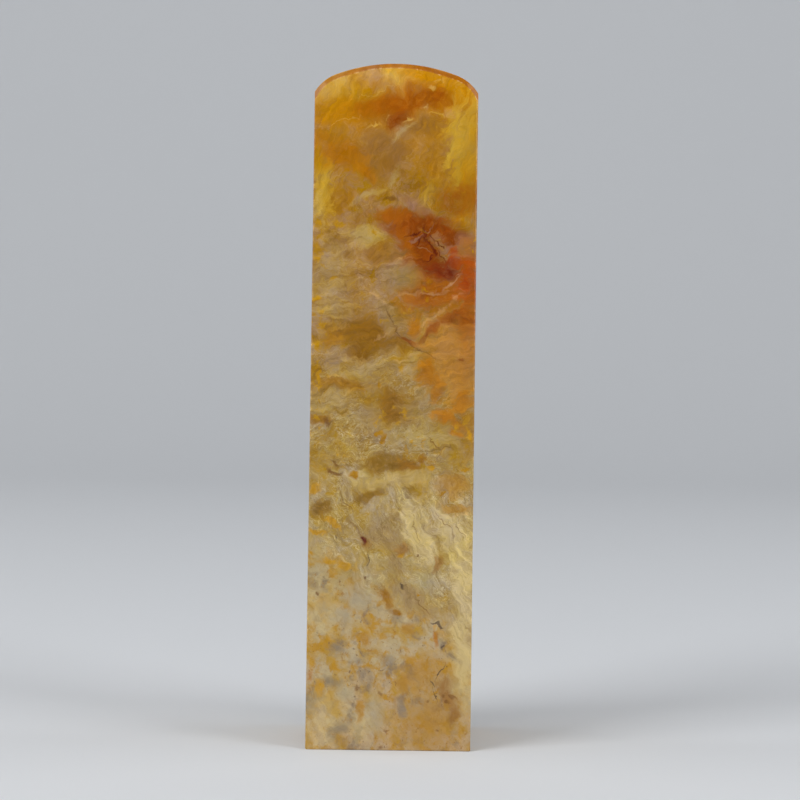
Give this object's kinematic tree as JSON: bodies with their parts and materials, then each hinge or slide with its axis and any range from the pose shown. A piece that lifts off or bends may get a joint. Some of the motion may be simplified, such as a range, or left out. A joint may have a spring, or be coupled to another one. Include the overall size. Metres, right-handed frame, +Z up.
{
  "type": "seal stamp",
  "caption": "Tall square seal stamp cut from one block of mottled amber stone, with a barrel-vaulted crown and a face carved in relief.",
  "frame": {"origin": "centre of the printing face, at the foot of the stone", "axes": "+Z up along the stone to its crown; the vault of the crown runs along Y; the pictured face looks towards -Y"},
  "size_m": [0.025, 0.025, 0.1035],
  "materials": {
    "polished_stone": "polished"
  },
  "bodies": {
    "root": {"seal_stone": "polished_stone"}
  },
  "joints": []
}
